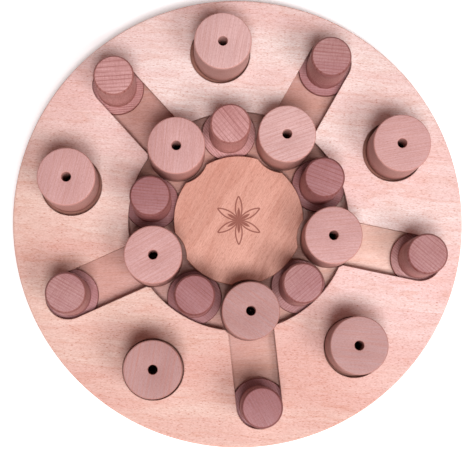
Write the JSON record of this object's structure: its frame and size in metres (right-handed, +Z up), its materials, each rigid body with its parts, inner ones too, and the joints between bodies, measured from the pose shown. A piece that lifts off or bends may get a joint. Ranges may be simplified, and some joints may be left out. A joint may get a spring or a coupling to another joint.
{
  "type": "dog puzzle feeder toy",
  "caption": "Round wooden puzzle feeder board with a star of T-slots round a centre disc, knobbed sliders running in them, and lift-out pucks with holes.",
  "frame": {"origin": "centre of the board's underside, on the floor that it rests on", "axes": "+Z up out of the board's face, -Y along the first slot"},
  "size_m": [0.34, 0.34, 0.0575],
  "materials": {
    "board_wood": "smooth sanded beech, oiled",
    "base_wood": "smooth sanded beech",
    "disc_wood": "smooth sanded beech, oiled",
    "puck_wood": "turned hardwood, fine grain",
    "slider_wood": "turned hardwood with strong growth lines"
  },
  "bodies": {
    "board": {"base_plate": "base_wood", "channel_plate": "base_wood", "top_plate": "board_wood", "hub_block": "base_wood", "centre_disc": "disc_wood"},
    "ring_puck_1": {"ring_puck_1": "puck_wood"},
    "outer_puck_1": {"outer_puck_1": "puck_wood"},
    "slot_slider_1": {"slot_slider_1": "slider_wood"},
    "ring_slider_1": {"ring_slider_1": "slider_wood"},
    "ring_puck_2": {"ring_puck_2": "puck_wood"},
    "outer_puck_2": {"outer_puck_2": "puck_wood"},
    "slot_slider_2": {"slot_slider_2": "slider_wood"},
    "ring_slider_2": {"ring_slider_2": "slider_wood"},
    "ring_puck_3": {"ring_puck_3": "puck_wood"},
    "outer_puck_3": {"outer_puck_3": "puck_wood"},
    "slot_slider_3": {"slot_slider_3": "slider_wood"},
    "ring_slider_3": {"ring_slider_3": "slider_wood"},
    "ring_puck_4": {"ring_puck_4": "puck_wood"},
    "outer_puck_4": {"outer_puck_4": "puck_wood"},
    "slot_slider_4": {"slot_slider_4": "slider_wood"},
    "ring_slider_4": {"ring_slider_4": "slider_wood"},
    "ring_puck_5": {"ring_puck_5": "puck_wood"},
    "outer_puck_5": {"outer_puck_5": "puck_wood"},
    "slot_slider_5": {"slot_slider_5": "slider_wood"},
    "ring_slider_5": {"ring_slider_5": "slider_wood"}
  },
  "joints": [
    {"name": "ring_puck_1_lift", "type": "slide", "parent": "board", "child": "ring_puck_1", "axis": [0, 0, 1], "range_m": [0, 0.055]},
    {"name": "outer_puck_1_lift", "type": "slide", "parent": "board", "child": "outer_puck_1", "axis": [0, 0, 1], "range_m": [0, 0.055]},
    {"name": "slot_slider_1_slide", "type": "slide", "parent": "board", "child": "slot_slider_1", "axis": [0, -1, 0], "range_m": [-0.02801, 0.0011]},
    {"name": "ring_slider_1_turn", "type": "hinge", "parent": "board", "child": "ring_slider_1", "pos_m": [0, 0, 0], "axis": [0, 0, 1], "range_deg": [-0.4, 0.4]},
    {"name": "ring_puck_2_lift", "type": "slide", "parent": "board", "child": "ring_puck_2", "axis": [0, 0, 1], "range_m": [0, 0.055]},
    {"name": "outer_puck_2_lift", "type": "slide", "parent": "board", "child": "outer_puck_2", "axis": [0, 0, 1], "range_m": [0, 0.055]},
    {"name": "slot_slider_2_slide", "type": "slide", "parent": "board", "child": "slot_slider_2", "axis": [0.9511, -0.309, 0], "range_m": [-0.02711, 0.002]},
    {"name": "ring_slider_2_turn", "type": "hinge", "parent": "board", "child": "ring_slider_2", "pos_m": [0, 0, 0], "axis": [0, 0, 1], "range_deg": [-0.4, 0.4]},
    {"name": "ring_puck_3_lift", "type": "slide", "parent": "board", "child": "ring_puck_3", "axis": [0, 0, 1], "range_m": [0, 0.055]},
    {"name": "outer_puck_3_lift", "type": "slide", "parent": "board", "child": "outer_puck_3", "axis": [0, 0, 1], "range_m": [0, 0.055]},
    {"name": "slot_slider_3_slide", "type": "slide", "parent": "board", "child": "slot_slider_3", "axis": [0.5878, 0.809, 0], "range_m": [-0.02331, 0.0058]},
    {"name": "ring_slider_3_turn", "type": "hinge", "parent": "board", "child": "ring_slider_3", "pos_m": [0, 0, 0], "axis": [0, 0, 1], "range_deg": [-0.4, 0.4]},
    {"name": "ring_puck_4_lift", "type": "slide", "parent": "board", "child": "ring_puck_4", "axis": [0, 0, 1], "range_m": [0, 0.055]},
    {"name": "outer_puck_4_lift", "type": "slide", "parent": "board", "child": "outer_puck_4", "axis": [0, 0, 1], "range_m": [0, 0.055]},
    {"name": "slot_slider_4_slide", "type": "slide", "parent": "board", "child": "slot_slider_4", "axis": [-0.5878, 0.809, 0], "range_m": [-0.02621, 0.0029]},
    {"name": "ring_slider_4_turn", "type": "hinge", "parent": "board", "child": "ring_slider_4", "pos_m": [0, 0, 0], "axis": [0, 0, 1], "range_deg": [-0.4, 0.4]},
    {"name": "ring_puck_5_lift", "type": "slide", "parent": "board", "child": "ring_puck_5", "axis": [0, 0, 1], "range_m": [0, 0.055]},
    {"name": "outer_puck_5_lift", "type": "slide", "parent": "board", "child": "outer_puck_5", "axis": [0, 0, 1], "range_m": [0, 0.055]},
    {"name": "slot_slider_5_slide", "type": "slide", "parent": "board", "child": "slot_slider_5", "axis": [-0.9511, -0.309, 0], "range_m": [-0.02631, 0.0028]},
    {"name": "ring_slider_5_turn", "type": "hinge", "parent": "board", "child": "ring_slider_5", "pos_m": [0, 0, 0], "axis": [0, 0, 1], "range_deg": [-0.4, 0.4]}
  ]
}
